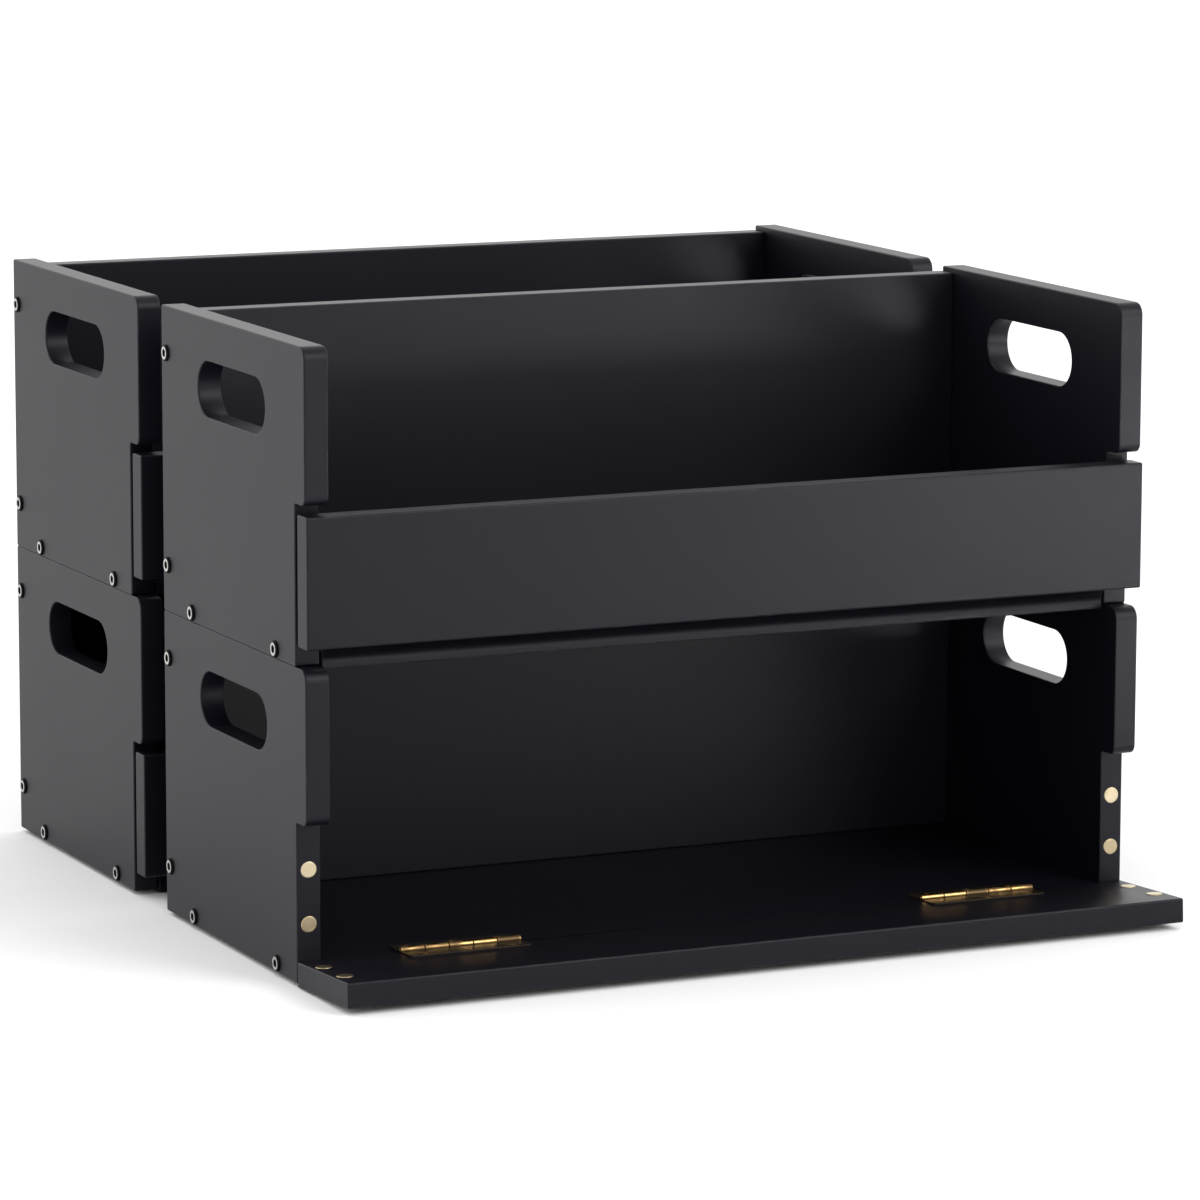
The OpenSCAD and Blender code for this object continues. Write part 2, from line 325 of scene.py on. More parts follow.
# %% Back and bottom
def plain_board(low, high, thin_axis, ease=EASE, radius=CORNER):
    """(grid, rim) of a board that fills the box from low to high: outline - inset * direction, row by row."""
    wide = [axis for axis in range(3) if axis != thin_axis]
    half, middle = (high - low) / 2, (high + low) / 2
    places, directions = rectangle(half[wide[0]], half[wide[1]], radius)
    inset, level, rim = eased_rows(high[thin_axis] - low[thin_axis], ease)
    grid = np.empty((len(inset), len(places), 3))
    grid[..., wide] = middle[wide] + places[None] - inset[:, None, None] * directions[None]
    grid[..., thin_axis] = low[thin_axis] + level[:, None]
    return grid, rim[:, None]


def back_board():
    """The back, whose thickness lies along y."""
    return grid_shell(*plain_board(back_low, back_high, 1))


SEAT_H = 8 * MM       # height of the stepped-in lower part of the bottom's ends
SEAT_GAP = 0.8 * MM   # how far it is stepped in


def bottom_board():
    """The plain board with two more rows at the step, and every row below it drawn in at both ends."""
    grid, rim = plain_board(bottom_low, bottom_high, 2)
    middle = len(grid) // 2
    step_rows = np.repeat(grid[middle:middle + 1], 2, 0)
    step_rows[..., 2] = bottom_low[2] + SEAT_H
    grid = np.concatenate([grid[:middle], step_rows, grid[middle:]])
    grid[:middle + 1, :, 0] -= SEAT_GAP * np.sign(grid[:middle + 1, :, 0])
    return grid_shell(grid, np.insert(rim, middle, [[0], [0]], 0))


print("back", np.round((back_high - back_low) / MM, 1),
      " bottom", np.round((bottom_high - bottom_low) / MM, 1), "mm")

# %% [markdown]
# ## Side panels
#
# A side is a plate with a slot in it, so its surface is a ring: over the outer face from slot to
# outline, round the edge, back over the inner face, and through the slot. Each point of the
# outline is paired with the point of the slot that lies in the same direction from the slot's
# middle. The slot is a stadium, two half circles joined by straight runs, and the distance to
# its wall in a given direction has a short formula.

# %% The slot's wall in a given direction
def stadium(bearing, reach, radius):
    """(places, directions) of a stadium's wall at the given bearings from its middle.

    On the straight runs the wall is radius / |sin b| away. On a round end, whose centre is reach
    away, it is reach * |cos b| + the root of (radius squared - (reach * sin b) squared). The
    directions point into the slot.
    """
    c, s = np.cos(bearing), np.sin(bearing)
    straight = np.abs(c) * radius <= reach * np.abs(s)
    run = radius / np.maximum(np.abs(s), 1e-9)
    end = reach * np.abs(c) + np.sqrt(np.maximum(radius**2 - (reach * s) ** 2, 0))
    places = np.where(straight, run, end)[:, None] * np.stack([c, s], 1)
    centres = np.stack([np.clip(places[:, 0], -reach, reach), np.zeros_like(c)], 1)
    return places, (centres - places) / radius


print("slot", np.round((slot_high - slot_low)[1:] / MM, 1), "mm, its middle at",
      np.round((slot_high + slot_low)[1:] / 2 / MM, 1), "mm")

# %% The whole side
NOSE_TOP = 6 * MM     # radius of the nose's upper corner
NOSE_LOW = 4.5 * MM   # radius of the nose's lower corner
SIDE_STEP = 3 * MM    # about how far apart the points of a side's outline are


def side_board(low, high):
    """A ring over both faces: slot, face, eased outline, other face, eased slot."""
    y0, z0, y1, z1 = low[1], low[2], high[1], high[2]
    loop = [(notch_y, z0), (y1, z0), (y1, z1), (y0, z1), (y0, nose_low), (notch_y, nose_low)]
    radii = [CORNER, CORNER, CORNER, NOSE_TOP, NOSE_LOW, CORNER]
    places, directions = outline(loop, radii, SIDE_STEP)
    middle = ((slot_low + slot_high) / 2)[1:]
    radius = (slot_high - slot_low)[2] / 2
    reach = (slot_high - slot_low)[1] / 2 - radius
    bearing = np.arctan2(*(places - middle).T[::-1])
    slot_places, slot_directions = stadium(bearing, reach, radius)
    inset, level, rim = eased_rows(high[0] - low[0])
    outer = places[None] - inset[:, None, None] * directions[None]
    inner = middle + slot_places[None] - inset[::-1, None, None] * slot_directions[None]
    grid = np.empty((2 * len(inset), len(places), 3))
    grid[..., 1:] = np.concatenate([outer, inner])
    grid[..., 0] = low[0] + np.concatenate([level, level[::-1]])[:, None]
    return grid_shell(grid, np.concatenate([rim, rim])[:, None], ring=True)


side_shells = {"left": side_board(side_low, side_high), "right": side_board(right_low, right_high)}
print("side panel:", len(side_shells["left"][0]), "points,", len(side_shells["left"][1]), "faces")

# %% [markdown]
# ## The flap
#
# The flap is a long bar, so here the section is carried along its length instead. At the two
# hinges its inner lower corner is cut away to make room for the barrel. That room is a rule on
# the points: wherever a section lies beside a hinge, no point may come nearer to the pin than
# the room's radius, and below the pin the wall goes straight down.

# %% Flap with room for the barrels
ROOM = 0.3 * MM       # free gap round a hinge's barrel
WALL_POINTS = 6       # extra points up the room's wall
leaf_boxes = solids(f"{HOME}_hinge_base_leaves", x=APART)
barrel_r = (leaf_boxes[0][1] - leaf_boxes[0][0])[2] / 2


def flap_board():
    """Sections in (y, z) at stations along x.

    Beside a hinge, y = min(y, pin's y - root(room squared - height squared)), where height is
    how far a point lies above the pin, taken as 0 below it.
    """
    half = (flap_high - flap_low) / 2
    middle = (flap_high + flap_low) / 2
    places, directions = rectangle(half[1], half[2])
    room = barrel_r + ROOM
    # A few more points up the inner face, as high as the room reaches
    top = home_pin[1] + math.sqrt(room**2 - (home_pin[0] - flap_high[1]) ** 2) - middle[2]
    rise = np.linspace(places[-1, 1], top, WALL_POINTS + 1)[1:]
    places = np.vstack([places, np.stack([np.full_like(rise, half[1]), rise], 1)])
    directions = np.vstack([directions, np.repeat([[1.0, 0.0]], len(rise), 0)])
    inset, level, rim = eased_rows(flap_high[0] - flap_low[0])
    count = len(inset) // 2
    edges = [x for low, high in leaf_boxes for x in (low[0] - ROOM, high[0] + ROOM)]
    level = flap_low[0] + level
    stations = np.concatenate([level[:count], np.repeat(edges, 2), level[count:]])
    insets = np.concatenate([inset[:count], np.zeros(2 * len(edges)), inset[count:]])
    rims = np.concatenate([rim[:count], np.zeros(2 * len(edges)), rim[count:]])
    cut = np.concatenate([np.zeros(count), [0, 1, 1, 0] * len(leaf_boxes), np.zeros(count)]).astype(bool)
    grid = np.empty((len(stations), len(places), 3))
    grid[..., 0] = stations[:, None]
    grid[..., 1:] = middle[1:] + places[None] - insets[:, None, None] * directions[None]
    height = np.clip(grid[..., 2] - home_pin[1], 0, room)
    wall = home_pin[0] - np.sqrt(room**2 - height**2)
    grid[..., 1] = np.where(cut[:, None], np.minimum(grid[..., 1], wall), grid[..., 1])
    corner = np.abs(directions[:, 0] * directions[:, 1]) * 2
    return grid_shell(grid, np.maximum(rims[:, None], corner[None]))


print("flap", np.round((flap_high - flap_low) / MM, 1), "mm, barrel radius", round(barrel_r / MM, 2), "mm")

# %% [markdown]
# ## Screws and magnets
#
# These are turned parts: a profile of (radius, height) carried round an axis. The boxes are held
# together by button screws with a hexagonal socket. The socket is a hexagon and the head a
# circle, and one grid can hold both: each row says whether its radius follows the hexagon. The
# magnets are plain discs. A boolean cut could make the socket too, but it leaves long thin faces.

# %% Turned parts
SCREW_STEPS = 48      # points round a screw or a magnet
BARREL_STEPS = 32     # points round a hinge's knuckle or pin
LEAF_SCREW_STEPS = 24


def turned(profile, rim, steps=SCREW_STEPS, hexagonal=0.0, ring=False):
    """A profile of (radius, height) rows carried round the x axis; a ring's last row joins its first.

    In a hexagonal row the radius is multiplied by cos(30 degrees) / cos(a), with a the angle
    from the middle of the nearest flat.
    """
    profile = np.asarray(profile, float)
    around = np.linspace(0, 2 * np.pi, steps, endpoint=False)
    from_flat = (around + np.pi / 6) % (np.pi / 3) - np.pi / 6
    hexagon = np.cos(np.pi / 6) / np.cos(from_flat)
    share = np.broadcast_to(hexagonal, len(profile))[:, None]
    radius = profile[:, :1] * (1 - share + share * hexagon)
    height = np.broadcast_to(profile[:, 1:], radius.shape)
    grid = np.stack([height, radius * np.cos(around), radius * np.sin(around)], -1)
    return grid_shell(grid, np.asarray(rim, float)[:, None], ring)


def facing(shell, way):
    """A part made along +x, turned so that its +x points along way."""
    x, y, z = shell[0].T
    places = {"x": (x, y, z), "-x": (-x, -y, z), "y": (-y, x, z), "-y": (y, -x, z), "-z": (z, y, -x)}[way]
    return np.stack(places, 1), shell[1], shell[2]


print("points round a turned part:", SCREW_STEPS, BARREL_STEPS, LEAF_SCREW_STEPS)

# %% Assembly screws
SOCKET_R = 2.08 * MM      # half the width across the hexagon's corners
SOCKET_DEEP = 2.2 * MM
SOCKET_LIP = 0.12 * MM    # bevel round the socket's mouth
FACE_R = 2.95 * MM        # outer radius of the flat ring on a screw's head, inside its dome
SKIRT = 0.25 * MM         # height of the head's straight skirt under the dome
SHANK_SHARE = 0.63        # the shank's radius as a share of the head's


def assembly_screw(head_r, head_h, shank_r, length):
    """A button screw with its head in front of x = 0 and its shank behind.

    The dome is a quarter ellipse: radius = FACE_R + (head_r - FACE_R) * sin a and height above
    the skirt = (head_h - SKIRT) * cos a. The rim is 1 on the flat ring, where the blacking is worn.
    """
    a = np.linspace(0, np.pi / 2, 6)
    dome = np.stack([FACE_R + (head_r - FACE_R) * np.sin(a), -SKIRT - (head_h - SKIRT) * np.cos(a)], 1)
    floor_x, lip = SOCKET_DEEP - head_h, SOCKET_LIP
    socket = [(0.1 * SOCKET_R, floor_x), (SOCKET_R, floor_x), (SOCKET_R, lip - head_h),
              (SOCKET_R + lip, -head_h)]
    ring = [(SOCKET_R + 2 * lip, -head_h), (FACE_R - lip, -head_h)]
    shank = [(head_r, 0), (shank_r, 0), (shank_r, length - shank_r), (0.3 * shank_r, length)]
    rim = [0] * 3 + [1] * 4 + [0] * (len(dome) - 1 + len(shank))
    profile = np.vstack([socket, ring, dome, shank])
    return turned(profile, rim, hexagonal=np.arange(len(profile)) < len(socket))


screw_boxes = solids(f"{HOME}_assembly_screws", y=CLOSE, z=CLOSE, x=APART)


def screws_of_home():
    """The home box's screws, each with its head on the outer face of its side."""
    made = []
    for low, high in screw_boxes:
        left = low[0] < 0
        face_x = side_low[0] if left else right_high[0]
        head_h = abs((low[0] if left else high[0]) - face_x)
        length = (high - low)[0] - head_h
        screw = assembly_screw((high - low)[1] / 2, head_h, SHANK_SHARE * (high - low)[1] / 2, length)
        middle = (low + high) / 2
        made.append(moved(facing(screw, "x" if left else "-x"), (face_x, middle[1], middle[2])))
    return together(made)


print("screws in one box:", len(screw_boxes))

# %% Magnets
MAGNET_BEVEL = 0.25 * MM
magnet_boxes = {kind: solids(f"{HOME}_{kind}_magnets", x=APART, z=CLOSE) for kind in ("side", "flap")}


def disc_magnet(radius, thickness):
    """A disc that runs back from x = 0, with its front edge bevelled."""
    bevel = MAGNET_BEVEL
    rows = [(radius - bevel - GUARD, 0), (radius - bevel, 0), (radius, bevel), (radius, thickness - bevel),
            (radius - bevel, thickness)]
    return turned(rows, [0, 1, 1, 0, 0])


def magnets_of_home(kind, way):
    """The side or flap magnets, let in along way (y or -y) from the face where they meet."""
    made = []
    for low, high in magnet_boxes[kind]:
        middle = (low + high) / 2
        front = low[1] if way == "y" else high[1]
        disc = disc_magnet((high - low)[0] / 2, (high - low)[1])
        made.append(moved(facing(disc, way), (middle[0], front, middle[2])))
    return together(made)


print("magnets in one box:", *(f"{kind} {len(boxes)}" for kind, boxes in magnet_boxes.items()))

# %% [markdown]
# ## Hinges
#
# A butt hinge is two thin leaves that share a row of knuckles round one pin. Both leaves have the
# same shape: the flap's is the bottom's with y and z exchanged, and it has the knuckles the other
# one leaves free. Each knuckle is a bored barrel, so that the pin has a real hole to turn in. The
# rim is 1 on the knuckles, which show bare brass, and near 0 on the leaves, which get a painted
# dark brown: a painted reflection of the dark boxes they face. Small countersunk screws hold the
# leaves; they are turned parts with a low dome.

# %% Barrels of the hinge
KNUCKLES = 5              # three on the bottom's leaf, two on the flap's
KNUCKLE_GAP = 0.3 * MM    # between one knuckle and the next
BARREL_BEVEL = 0.18 * MM  # at the ends of knuckles and pins
LEAF_T = 1.0 * MM         # thickness of a leaf
LEAF_EASE = 0.12 * MM     # its broken edge
LEAF_CORNER = 1.5 * MM
STRAP_CORNER = 0.5 * MM
LEAF_RIM = 0.15           # how far the rims of a leaf's edges count in the finish
PIN_PLAY = 0.05 * MM      # free gap between the pin and a knuckle's bore
pin_r = np.subtract(*corners(f"{HOME}_hinge_pins")[::-1])[2] / 2


def barrel(length, radius, bore=0.0):
    """A barrel along +x with bevelled ends: a tube if it has a bore, and a solid rod if not."""
    bevel = BARREL_BEVEL
    rows = [(radius - bevel, 0), (radius, bevel), (radius, 2 * bevel), (radius, length - 2 * bevel),
            (radius, length - bevel), (radius - bevel, length)]
    # Rim 0 at the ends and in the bore gives them the hinge finish's painted dark brown: painted shade
    # between knuckles and in the bore
    rims = [0, 1, 1, 1, 1, 0]
    if bore:
        rows, rims = [(bore, 0), *rows, (bore, length)], [0, *rims, 0]
    return turned(rows, rims, BARREL_STEPS, ring=bore > 0)


print("knuckles", round(barrel_r / MM, 2), "mm and pins", round(pin_r / MM, 2), "mm in radius")

# %% A leaf with its knuckles
def leaf_plate(low, high, radius):
    """A thin plate from low to high, lying flat, with round corners of this radius."""
    grid, rim = plain_board(np.array(low), np.array(high), 2, LEAF_EASE, radius)
    # A leaf's rim is kept low, so the hinge finish gives it the painted dark brown: a painted reflection of
    # the dark boxes it faces
    return grid_shell(grid, rim * LEAF_RIM)


def leaf(x0, length, reach, own):
    """A leaf lying behind the pin's axis: a plate, its own knuckles and a strap from each to the plate."""
    step = length / KNUCKLES
    start, floor_z = barrel_r + KNUCKLE_GAP, -barrel_r
    top_z = floor_z + LEAF_T
    made = [leaf_plate((x0, start, floor_z), (x0 + length, reach, top_z), LEAF_CORNER)]
    for i in own:
        x, span = x0 + i * step + KNUCKLE_GAP / 2, step - KNUCKLE_GAP
        made.append(moved(barrel(span, barrel_r, pin_r + PIN_PLAY), (x, 0, 0)))
        strap_low, strap_high = (x, pin_r + 2 * PIN_PLAY, floor_z), (x + span, start + MM, top_z)
        made.append(leaf_plate(strap_low, strap_high, STRAP_CORNER))
    return together(made)


def upright(shell):
    """A shell with y and z exchanged. That turns it inside out, so its faces are turned back."""
    return shell[0][:, [0, 2, 1]], [face[::-1] for face in shell[1]], shell[2]


print("leaf", round(LEAF_T / MM, 2), "mm thick; its plate starts", round((barrel_r + KNUCKLE_GAP) / MM, 2),
      "mm from the pin's axis")

# %% Leaves and pins of the home box
def leaves_of_home(own, standing):
    """The two hinges' leaves with the knuckles in own: lying on the bottom, or standing on the flap."""
    made = [leaf(low[0], (high - low)[0], high[1] - home_pin[0], own) for low, high in leaf_boxes]
    both = together([upright(shell) for shell in made] if standing else made)
    return moved(both, (0, *home_pin))


def pins_of_home():
    """The home box's two pins, one rod through each hinge's knuckles."""
    made = []
    for low, high in solids(f"{HOME}_hinge_pins", x=APART):
        made.append(moved(barrel((high - low)[0], pin_r), (low[0], *home_pin)))
    return together(made)


print("hinge", round((leaf_boxes[0][1] - leaf_boxes[0][0])[0] / MM, 1), "mm long with", KNUCKLES, "knuckles")

# %% Leaf screws
LEAF_DOME = 0.2 * MM      # how far a leaf screw's head stands proud of the leaf
leaf_screw_boxes = {kind: solids(f"{HOME}_{kind}_leaf_screws", x=CLOSE) for kind in ("base", "flap")}


def leaf_screw(radius, length):
    """A low domed head with a small recess; the shank runs back from x = 0."""
    dome = LEAF_DOME
    recess = [(0.05 * radius, dome), (0.26 * radius, dome), (0.28 * radius, -dome)]
    head = [(0.5 * radius, -0.85 * dome), (0.8 * radius, -0.5 * dome), (0.95 * radius, -0.2 * dome),
            (radius, 0)]
    shank = [(0.5 * radius, 0.5 * radius), (0.5 * radius, length - radius), (0.1 * radius, length)]
    # Rim 0 on the recess floor gives it the hinge finish's painted dark brown: painted shade in the recess
    return turned(recess + head + shank, [0] * 2 + [1] * 5 + [0] * 3, LEAF_SCREW_STEPS)


def leaf_screws_of_home(kind, way):
    """The heads lie on the leaf's face: on top of the bottom's leaf, and inside on the flap's."""
    made = []
    for low, high in leaf_screw_boxes[kind]:
        middle = (low + high) / 2
        along = 2 if way == "-z" else 1
        place = middle.copy()
        place[along] = high[along]
        screw = leaf_screw((high - low)[0] / 2, (high - low)[along])
        made.append(moved(facing(screw, way), place))
    return together(made)


print("leaf screws in one box:", *(f"{kind} {len(boxes)}" for kind, boxes in leaf_screw_boxes.items()))

# %% [markdown]
# ## Shader maths
#
# A node graph is easier to read as an expression. The first class below wraps a node's output, so
# that `1 - mask * 0.3` adds the Math nodes that work it out. The second one adds every other kind
# of node by one method, and gives the finishes their few words: noise, band, rim, blend and bump.

# %% A graph and its wires
class Wire:
    """The output of a shader node. Adding to it, multiplying it or taking it away adds a Math node."""

    def __init__(self, graph, socket):
        self.graph, self.socket = graph, socket

    def maths(self, operation, *values):
        """The wire of a Math node that works on these values or wires."""
        return self.graph.node("ShaderNodeMath", {"operation": operation}, dict(enumerate(values)))

    def __add__(self, other):
        return self.maths("ADD", self, other)

    def __rsub__(self, other):
        return self.maths("SUBTRACT", other, self)

    def __mul__(self, other):
        return self.maths("MULTIPLY", self, other)

    __radd__, __rmul__ = __add__, __mul__


class Graph:
    """The empty node tree of a material or a world, whose nodes are added by node()."""

    def __init__(self, owner):
        owner.use_nodes = True
        self.owner, self.tree = owner, owner.node_tree
        self.tree.nodes.clear()

    def node(self, kind, settings=None, sockets=None, output=0):
        """Adds a node of this kind: its settings first, then the values or wires of its sockets."""
        made = self.tree.nodes.new(kind)
        for key, value in (settings or {}).items():
            if key == "stops":
                ramp = made.color_ramp.elements
                for k, (position, shade) in enumerate(value):
                    stop = ramp[k] if k < len(ramp) else ramp.new(position)
                    stop.position, stop.color = position, (shade, shade, shade, 1)
            else:
                setattr(made, key, value)
        for key, value in (sockets or {}).items():
            if isinstance(value, Wire):
                self.tree.links.new(value.socket, made.inputs[key])
            else:
                made.inputs[key].default_value = value
        return Wire(self, made.outputs[output]) if made.outputs else None

    def places(self):
        """The place on the piece, in metres."""
        return self.node("ShaderNodeTexCoord", output="Object")

    def noise(self, size, detail=2.0):
        """Cloudy values round 0.5, with features about size metres across."""
        sockets = {"Vector": self.places(), "Scale": 1 / size, "Detail": detail}
        return self.node("ShaderNodeTexNoise", sockets=sockets)

    def band(self, value, low, high):
        """A value as a mask: 0 up to low, 1 from high."""
        return self.node("ShaderNodeValToRGB", {"stops": [(low, 0), (high, 1)]}, {"Fac": value})

    def rim(self):
        """The mesh's own measure of how near an edge is."""
        return self.node("ShaderNodeAttribute", {"attribute_name": "rim"}, output="Fac")

    def blend(self, share, first, second):
        """Colour first where share is 0 and second where it is 1."""
        return self.node("ShaderNodeMix", {"data_type": "RGBA"}, {0: share, 6: first, 7: second}, output=2)

    def bump(self, height, depth):
        """Normals of a surface whose height wire stands for depth metres."""
        return self.node("ShaderNodeBump", sockets={"Height": height, "Distance": depth, "Strength": 1.0})

    def surface(self, **sockets):
        """The closing shader. Underscores in the sockets' names stand for spaces."""
        named = {key.replace("_", " "): value for key, value in sockets.items()}
        shader = self.node("ShaderNodeBsdfPrincipled", sockets=named)
        self.node("ShaderNodeOutputMaterial", sockets={"Surface": shader})
        return self.owner


print("words for a finish:", ", ".join(name for name in vars(Graph) if not name.startswith("_")))

# %% Greys, and the list of finishes
def grey(value, warmth=0.0):
    """A linear colour, a little warmer or cooler than grey."""
    return (value * (1 + warmth), value, value * (1 - warmth), 1.0)


FINISHES = {}


def keep(slot, finish):
    """Puts a finish on the list under its slot's name and says how many nodes it has."""
    FINISHES[slot] = finish
    print(slot, "has", len(finish.node_tree.nodes), "nodes")


print("a warm mid grey:", grey(0.5, 0.02))

# %% [markdown]
# ## Black lacquer
#
# Black lacquer is almost all reflection: the paint returns less than one percent of the light,
# and the film above it mirrors the room, more and more as the view gets shallow. So the colour is
# very dark, with a breath of blue, and the roughness does the work. The refractive index is lower
# than a real varnish's, because the room here is brighter than a real studio and would turn the
# black to grey. A sprayed film is never quite even: it has a faint orange peel about two
# millimetres across. Its eased edges are lighter in patches: a little wear and dust, and a
# painted highlight of the light that the edges catch.

# %% Black lacquer
def black_lacquer():
    f = Graph(bpy.data.materials.new("black_lacquer"))
    cloud = f.noise(90 * MM, 3.0)
    fine = f.noise(0.9 * MM, 2.0)
    # Lighter patches on the eased edges: wear and dust, and a painted highlight where the edges catch the
    # light
    wear_and_sheen = f.rim() * f.band(f.noise(7 * MM, 4.0), 0.45, 0.75)
    paint = f.blend(cloud, (0.0030, 0.0028, 0.0060, 1), (0.0040, 0.0037, 0.0075, 1))
    return f.surface(
        Base_Color=f.blend(wear_and_sheen * 0.5, paint, grey(0.03)),
        Roughness=0.38 + cloud * 0.04 + fine * 0.03 + wear_and_sheen * 0.06,
        IOR=1.28,
        Normal=f.bump(f.noise(2.2 * MM, 1.0) + fine * 0.15, 0.010 * MM),
    )


keep("black_lacquer", black_lacquer())

# %% [markdown]
# ## Screw steel
#
# The screws are blackened steel. Where a key has rubbed the flat ring of the head, the blacking is
# gone and the bare metal is bright. The rim of the mesh says where that ring is, so it can be the
# metallic value itself: 0 is the dull black skin and 1 the bare metal, with a few scuffs between.
# The skin mirrors even less than the lacquer, so its refractive index is lower still.

# %% Worn steel
def worn_steel():
    """Blackened screws; the blacking is rubbed off the flat ring of the head."""
    f = Graph(bpy.data.materials.new("screw_steel"))
    scuff = f.band(f.noise(0.8 * MM, 3.0), 0.25, 0.6)
    bare = f.rim() * (0.75 + scuff * 0.25)
    return f.surface(
        Base_Color=f.blend(bare, grey(0.004), grey(0.52, 0.01)),
        Metallic=bare,
        Roughness=0.42 - bare * 0.12 + scuff * 0.05,
        IOR=1.12,
        Normal=f.bump(f.noise(0.5 * MM), 0.01 * MM),
    )


keep("screw_steel", worn_steel())

# %% [markdown]
# ## Magnet plating
#
# The disc magnets have a thin plating, between nickel and pale gold. It is all metal, so it has
# no paint and its colour is the colour of its reflection. Wide noise turns some discs browner
# than others, and fine noise breaks up the shine within a disc.

# %% Plated magnets
def magnet_plating():
    """A soft champagne plating, finely clouded, browner on some discs than on others."""
    f = Graph(bpy.data.materials.new("magnet_plating"))
    stain = f.noise(2.5 * MM, 3.0)
    brown = 1 - f.band(f.noise(16 * MM, 0.0), 0.45, 0.6)
    champagne = f.blend(stain, (0.50, 0.42, 0.27, 1), (0.62, 0.53, 0.36, 1))
    return f.surface(
        Base_Color=f.blend(brown * 0.5, champagne, (0.30, 0.22, 0.12, 1)),
        Metallic=1.0,
        Roughness=0.28 + stain * 0.12,
        Normal=f.bump(f.noise(0.4 * MM), 0.006 * MM),
    )


keep("magnet_plating", magnet_plating())

# %% [markdown]
# ## Hinge brass
#
# The hinges are brass, and the knuckles show the bare metal. Where the rim is low the colour is a
# painted dark brown: on the leaves a painted reflection of the dark boxes they face, and at the ends
# and in the bores of the knuckles painted shade. Noise about as wide as a knuckle puts the dark
# brown on a few knuckles too, so that one knuckle is darker than the next.

# %% Brass with a painted dark brown
def hinge_brass():
    """Brass, bare on the knuckles, with a painted dark brown for reflected dark and shade elsewhere."""
    f = Graph(bpy.data.materials.new("hinge_brass"))
    # The dark brown is painted: a painted reflection on the leaves, painted shade at knuckle ends; this mask
    # darkens a few knuckles too
    darker_knuckles = f.band(f.noise(13 * MM, 1.0), 0.44, 0.56)
    bright = f.rim() * (1 - darker_knuckles * 0.8)
    speck = f.noise(0.7 * MM, 3.0)
    return f.surface(
        Base_Color=f.blend(bright, (0.016, 0.011, 0.007, 1), (0.47, 0.29, 0.11, 1)),
        Metallic=0.3 + bright * 0.7,
        Roughness=0.30 - bright * 0.14 + speck * 0.06,
        IOR=1.3,
        Normal=f.bump(speck, 0.003 * MM),
    )


keep("hinge_brass", hinge_brass())

# %% [markdown]
# ## Putting the boxes together
#
# All four boxes are the same, so each shell is worked out once, on the home box. A copy for
# another box is moved by that box's shift, and the pieces on its flap are swung about the pin
# first. Each piece says which body it rides on, which CAD node it stands for and which finish it
# takes.

# %% Every piece of the home box
# Part: its shell, its finish, and whether it is on the flap
HOME_SHELLS = {
    "left_side": (side_shells["left"], "black_lacquer", False),
    "right_side": (side_shells["right"], "black_lacquer", False),
    "back_panel": (back_board(), "black_lacquer", False),
    "bottom_panel": (bottom_board(), "black_lacquer", False),
    "flap": (flap_board(), "black_lacquer", True),
    "assembly_screws": (screws_of_home(), "screw_steel", False),
    "side_magnets": (magnets_of_home("side", "y"), "magnet_plating", False),
    "flap_magnets": (magnets_of_home("flap", "-y"), "magnet_plating", True),
    "hinge_base_leaves": (leaves_of_home((0, 2, 4), False), "hinge_brass", False),
    "hinge_pins": (pins_of_home(), "hinge_brass", False),
    "base_leaf_screws": (leaf_screws_of_home("base", "-z"), "hinge_brass", False),
    "hinge_flap_leaves": (leaves_of_home((1, 3), True), "hinge_brass", True),
    "flap_leaf_screws": (leaf_screws_of_home("flap", "-y"), "hinge_brass", True),
}
shell_points = [len(shell[0]) for shell, _, _ in HOME_SHELLS.values()]
print("parts of a box:", len(HOME_SHELLS), " points:", sum(shell_points))

# %% Dress every box
for box in BOXES:
    for part, (shell, slot, on_flap) in HOME_SHELLS.items():
        placed = moved(swung(shell, turn[box]) if on_flap else shell, shift[box])
        made = piece(f"{box}_{part}_finished", placed)
        made.data.materials.append(FINISHES[slot])
        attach(made, f"{box}_flap_assembly" if on_flap else f"{box}_box")
        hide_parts(f"{box}_{part}")

# %% [markdown]
# ## Floor
#
# The boxes stand on a plain pale floor. Black lacquer shows what stands round it, and the floor
# far away is mirrored in the upright faces, so it is one very wide sheet with a matt finish. A
# trace of wide noise keeps it from being quite flat in tone.

# %% Pale floor
FLOOR_R = 40.0        # half the floor's width, in metres
FLOOR_CORNERS = ((-1, -1), (1, -1), (1, 1), (-1, 1))


def pale_floor():
    """Matt paper white, with clouds about 0.6 m across."""
    f = Graph(bpy.data.materials.new("pale_floor"))
    paper = f.noise(0.6, 3.0)
    return f.surface(Base_Color=f.blend(paper, grey(0.90), grey(0.92)), Roughness=0.9)


floor_mesh = bpy.data.meshes.new("floor")
floor_mesh.from_pydata([(x * FLOOR_R, y * FLOOR_R, 0) for x, y in FLOOR_CORNERS], [], [(0, 1, 2, 3)])
floor_mesh.materials.append(pale_floor())
floor = bpy.data.objects.new("floor", floor_mesh)
bpy.context.scene.collection.objects.link(floor)
print("floor", 2 * FLOOR_R, "m wide")

# %% [markdown]
# ## Room light and softboxes
#
# A studio for such goods is a white room. Light comes from all round, and more of it from a wall
# behind the boxes, which the left sides mirror at a shallow angle. Real walls could be built, but
# the world's background does the same with a strength worked out from the direction. Two square
# softboxes are added: a high one in front, to the right, reaches into the boxes, and a small one
# lights a patch of the floor that the backs of the boxes mirror as a soft glow.

# %% White room
ROOM_LIGHT = 1.5
BACK_WALL = (-0.35, 0.93, 0.12)     # where the room is brightest: behind the boxes, a little to the left
BACK_LIGHT = 1.0


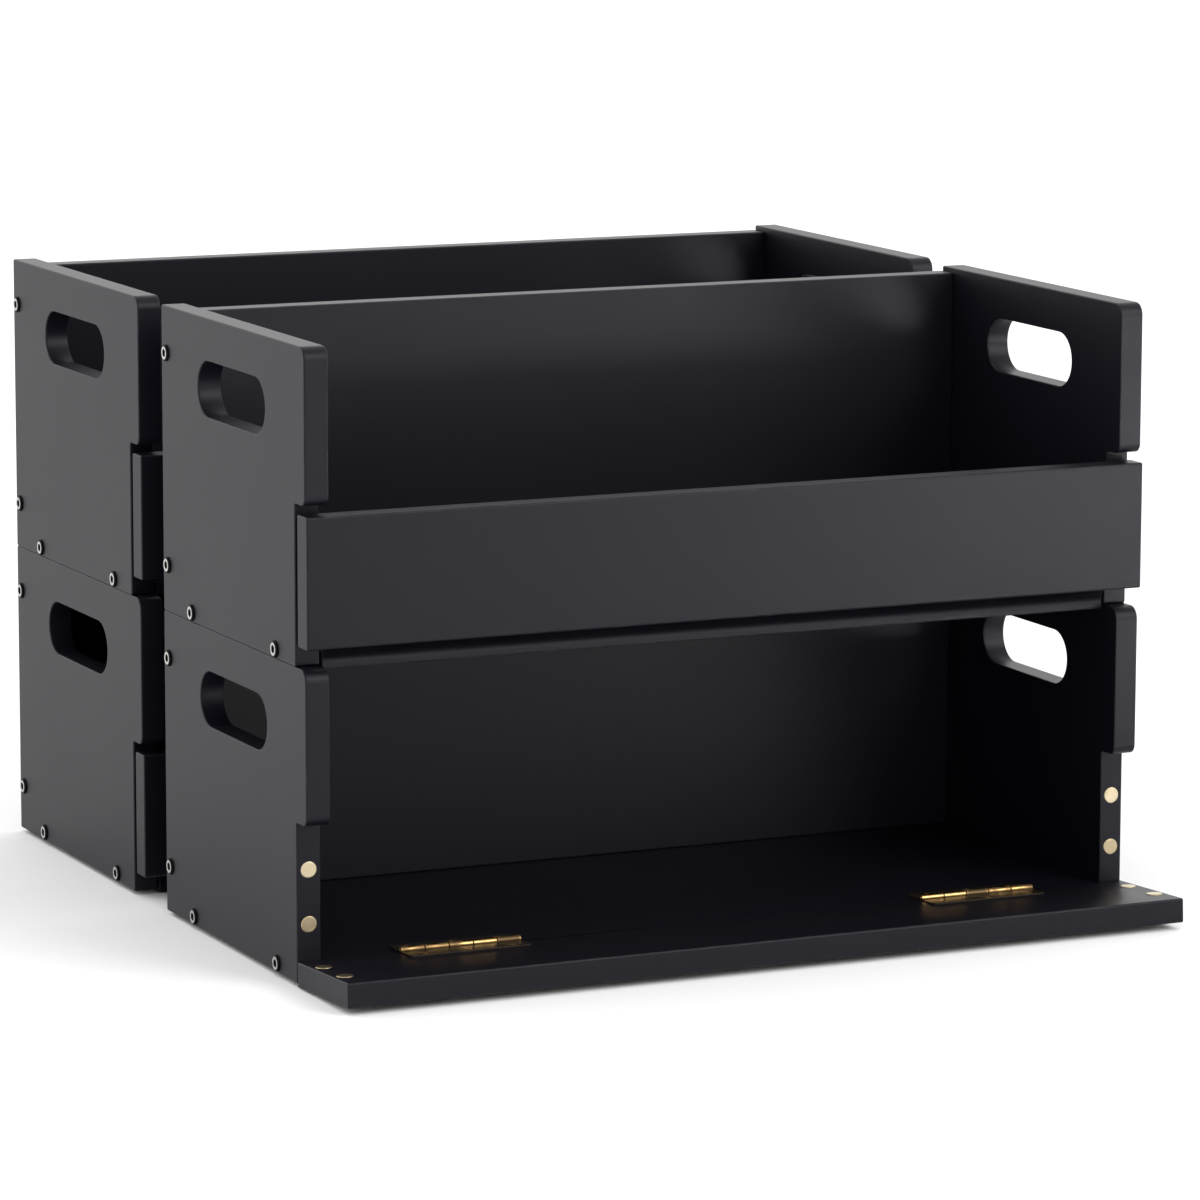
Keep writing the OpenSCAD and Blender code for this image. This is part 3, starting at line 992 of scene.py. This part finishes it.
def white_room():
    """Room light + back light * (cosine of the angle to the back wall, or 0 past 90 degrees) squared."""
    g = Graph(bpy.data.worlds.new("white_room"))
    way = g.node("ShaderNodeTexCoord", output="Generated")
    dot_product = {"operation": "DOT_PRODUCT"}
    cosine = g.node("ShaderNodeVectorMath", dot_product, {0: way, 1: BACK_WALL}, output="Value")
    towards = cosine.maths("MAXIMUM", cosine, 0)
    shine = g.node("ShaderNodeBackground", sockets={"Strength": ROOM_LIGHT + BACK_LIGHT * towards * towards})
    g.node("ShaderNodeOutputWorld", sockets={"Surface": shine})
    return g.owner


bpy.context.scene.world = white_room()
print("room light from", ROOM_LIGHT, "to", round(ROOM_LIGHT + BACK_LIGHT, 2), "towards the back wall")

# %% Softboxes
FULL_SPREAD = 180


def softbox(name, place, aim, size, power, spread=FULL_SPREAD):
    """A square area light at place, pointing at aim, whose light fans out over spread degrees."""
    data = bpy.data.lights.new(name, "AREA")
    data.shape, data.size, data.energy, data.spread = "SQUARE", size, power, math.radians(spread)
    made = bpy.data.objects.new(name, data)
    made.location = place
    made.rotation_euler = (Vector(aim) - Vector(place)).to_track_quat("-Z", "Y").to_euler()
    made.visible_camera = False
    bpy.context.scene.collection.objects.link(made)
    print(f"{name}: {size} m wide, {power} W, over {spread} degrees")


softbox("floor_softbox", place=(0.82, -1.02, 0.6), aim=(0.78, -0.98, 0), size=0.3, power=20, spread=60)
softbox("high_softbox", place=(1.3, -2.2, 1.5), aim=(0.1, 0.1, 0.2), size=1.4, power=36)

# %% [markdown]
# ## Camera
#
# The boxes are seen from the front and a little from the left and above. The camera is far off
# with a long lens, which keeps the boxes' edges nearly parallel. It is placed by the point it
# looks at, the distance and three angles, because those are easier to judge than a position.

# %% Camera
AIM = Vector((-28.2, 0.0, 158.0)) * MM      # where the lens points, on the plane of the front box's middle
DISTANCE = 2.852
YAW, PITCH, ROLL = (math.radians(a) for a in (24.766, 9.610, 0.159))
LENS, SENSOR = 175.45, 36       # focal length and sensor width, in millimetres

turned_to = Euler((math.pi / 2 - PITCH, 0, -YAW)).to_matrix()
camera_data = bpy.data.cameras.new("camera")
camera_data.lens, camera_data.sensor_width = LENS, SENSOR
camera = bpy.data.objects.new("camera", camera_data)
camera.location = AIM + DISTANCE * (turned_to @ Vector((0, 0, 1)))
camera.rotation_euler = (turned_to @ Euler((0, 0, ROLL)).to_matrix()).to_euler()
bpy.context.scene.collection.objects.link(camera)
bpy.context.scene.camera = camera
bpy.context.scene.view_settings.view_transform = "Standard"
print("camera at", np.round(np.array(camera.location), 3))

# %% [markdown]
# The finished boxes may not be bigger than the packed model.
